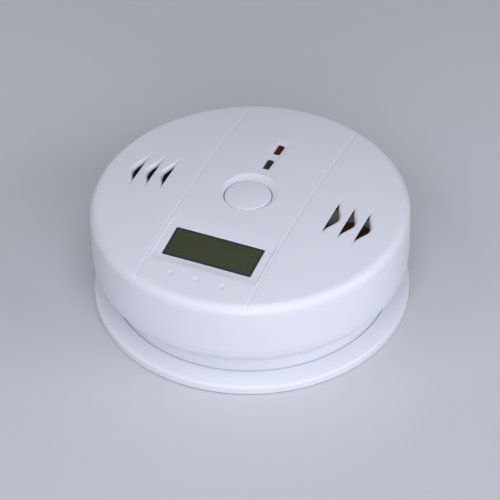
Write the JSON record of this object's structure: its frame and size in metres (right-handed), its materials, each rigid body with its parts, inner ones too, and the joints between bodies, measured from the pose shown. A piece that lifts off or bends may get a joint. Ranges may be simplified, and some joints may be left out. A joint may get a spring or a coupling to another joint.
{
  "type": "carbon monoxide detector",
  "caption": "Round battery carbon monoxide alarm with display, test button, lamps and vented cover on a twist-lock wall plate.",
  "frame": {"origin": "centre of the mounting plate's underside, the face that goes against the wall or stands on a surface", "axes": "+Z out of the alarm's face, +Y from the display towards the lamps, +X to the right when the face is read"},
  "size_m": [0.1084, 0.1084, 0.0427],
  "materials": {
    "case_white": "satin moulded ABS",
    "clear_pane": "clear acrylic",
    "display_glass": "dark olive display glass with a dark grey border",
    "red_lens": "diffused red epoxy",
    "green_lens": "diffused green epoxy",
    "bare_steel": "nickel plated steel",
    "tinned_copper": "tinned",
    "board_laminate": "green solder mask",
    "black_plastic": "moulded black",
    "natural_plastic": "natural white moulding",
    "grey_plastic": "warm grey moulding",
    "resistor_ceramic": "chip parts",
    "ferrite": "ferrite with copper winding",
    "capacitor_sleeve": "shrink sleeve",
    "crystal_metal": "drawn metal can",
    "sensor_shell": "black moulded sensor body",
    "sensor_mesh": "perforated black filter cap",
    "brass_disc": "dulled brass",
    "silvered_ceramic": "silvered ceramic",
    "cell_jacket": "printed cell jacket without marks",
    "lead_red": "soft insulation",
    "lead_black": "soft insulation"
  },
  "bodies": {
    "base": {"mounting_plate": "case_white"},
    "housing": {"rear_housing": "case_white", "front_cover": "case_white", "display_window": "clear_pane", "lcd_panel": "display_glass", "lcd_bracket": "natural_plastic", "lcd_pins": "tinned_copper", "red_led": "red_lens", "green_led": "green_lens", "led_leads": "tinned_copper", "led_holder": "natural_plastic", "switch_base": "black_plastic", "switch_plate": "bare_steel", "switch_legs": "tinned_copper", "main_circuit_board": "board_laminate", "microcontroller": "black_plastic", "voltage_regulator": "black_plastic", "crystal": "crystal_metal", "capacitors": "capacitor_sleeve", "boost_inductor": "ferrite", "chip_resistors": "resistor_ceramic", "gas_sensor_can": "sensor_shell", "gas_sensor_cap": "sensor_mesh", "gas_sensor_pins": "tinned_copper", "sounder_chamber": "grey_plastic", "sounder_cap": "grey_plastic", "sounder_disc": "brass_disc", "sounder_ceramic": "silvered_ceramic", "sounder_pins": "tinned_copper", "battery_left": "cell_jacket", "battery_middle": "cell_jacket", "battery_right": "cell_jacket", "battery_caps": "bare_steel", "contact_springs": "bare_steel", "contact_plates": "bare_steel", "battery_lead_red": "lead_red", "battery_lead_black": "lead_black", "case_screws": "bare_steel", "board_screws": "bare_steel"},
    "button": {"test_button": "case_white"},
    "plunger": {"switch_plunger": "black_plastic"}
  },
  "joints": [
    {"name": "bayonet_twist", "type": "hinge", "parent": "base", "child": "housing", "pos_m": [0, 0, 0], "axis": [0, 0, 1], "range_deg": [0, 16]},
    {"name": "test_button_press", "type": "slide", "parent": "housing", "child": "button", "axis": [0, 0, -1], "range_m": [0, 0.0005], "stiffness_N_per_m": 2000, "springref_m": -0.0003},
    {"name": "switch_plunger_press", "type": "slide", "parent": "housing", "child": "plunger", "axis": [0, 0, -1], "range_m": [0, 0.0005]}
  ],
  "couplings": [
    {"joint": "switch_plunger_press", "follows": "test_button_press", "ratio": 1}
  ]
}
